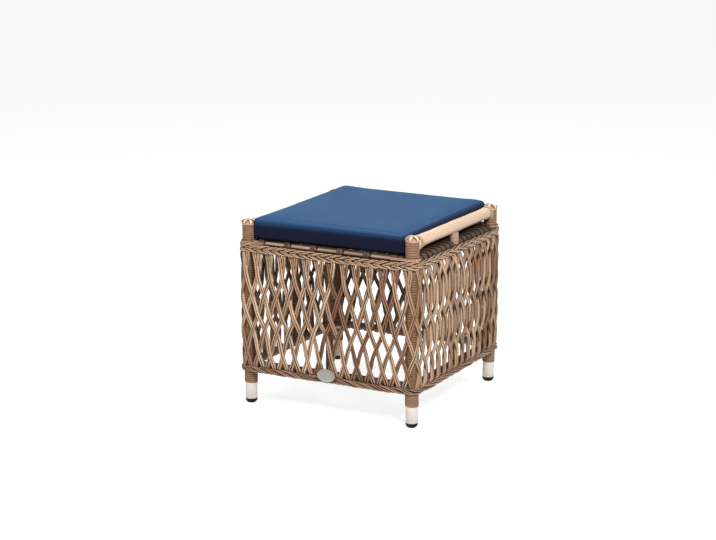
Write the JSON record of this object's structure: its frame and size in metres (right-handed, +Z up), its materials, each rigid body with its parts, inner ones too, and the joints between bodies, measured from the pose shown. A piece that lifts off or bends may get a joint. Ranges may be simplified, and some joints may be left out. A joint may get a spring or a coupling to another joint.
{
  "type": "outdoor footstool",
  "caption": "Square woven outdoor footstool: wrapped tube frame, open lattice sides with rope borders, cane handle rails, banded seat and a loose cushion.",
  "frame": {"origin": "on the floor, in the middle of the four legs", "axes": "+Z up, front (the side with the badge plate) towards -Y, handle rails along Y at +X and -X"},
  "size_m": [0.4666, 0.4666, 0.4497],
  "materials": {
    "leg_tube": "satin",
    "frame_paint": "satin",
    "glide": "satin",
    "post_winding": "satin",
    "lattice_cane": "satin",
    "border_cane": "satin",
    "seat_cane": "satin",
    "handle_cane": "satin",
    "badge_plate": "satin",
    "cushion_fabric": "matte",
    "cushion_foam": "matte",
    "zip": "satin"
  },
  "bodies": {
    "frame": {"leg_front_left": "leg_tube", "glide_front_left": "glide", "wrap_lower_front_left": "post_winding", "wrap_middle_front_left": "post_winding", "wrap_upper_front_left": "post_winding", "post_cap_front_left": "handle_cane", "leg_front_right": "leg_tube", "glide_front_right": "glide", "wrap_lower_front_right": "post_winding", "wrap_middle_front_right": "post_winding", "wrap_upper_front_right": "post_winding", "post_cap_front_right": "handle_cane", "leg_back_right": "leg_tube", "glide_back_right": "glide", "wrap_lower_back_right": "post_winding", "wrap_middle_back_right": "post_winding", "wrap_upper_back_right": "post_winding", "post_cap_back_right": "handle_cane", "leg_back_left": "leg_tube", "glide_back_left": "glide", "wrap_lower_back_left": "post_winding", "wrap_middle_back_left": "post_winding", "wrap_upper_back_left": "post_winding", "post_cap_back_left": "handle_cane", "lower_rail_front": "frame_paint", "seat_rail_front": "frame_paint", "mid_post_front": "post_winding", "lattice_front": "lattice_cane", "bottom_border_front": "border_cane", "top_border_front": "border_cane", "lower_rail_right": "frame_paint", "seat_rail_right": "frame_paint", "mid_post_right": "post_winding", "lattice_right": "lattice_cane", "bottom_border_right": "border_cane", "top_border_right": "border_cane", "lower_rail_back": "frame_paint", "seat_rail_back": "frame_paint", "mid_post_back": "post_winding", "lattice_back": "lattice_cane", "bottom_border_back": "border_cane", "top_border_back": "border_cane", "lower_rail_left": "frame_paint", "seat_rail_left": "frame_paint", "mid_post_left": "post_winding", "lattice_left": "lattice_cane", "bottom_border_left": "border_cane", "top_border_left": "border_cane", "handle_rail_right": "handle_cane", "handle_spacer_right": "post_winding", "handle_rail_left": "handle_cane", "handle_spacer_left": "post_winding", "seat_cross_bar": "frame_paint", "seat_bands": "seat_cane", "seat_binders": "seat_cane", "badge_plate": "badge_plate"},
    "cushion": {"cushion_cover": "cushion_fabric", "cushion_foam": "cushion_foam", "cushion_zip": "zip"}
  },
  "joints": [
    {"name": "cushion_lift", "type": "slide", "parent": "frame", "child": "cushion", "axis": [0, 0, 1], "range_m": [0, 0.15]}
  ]
}
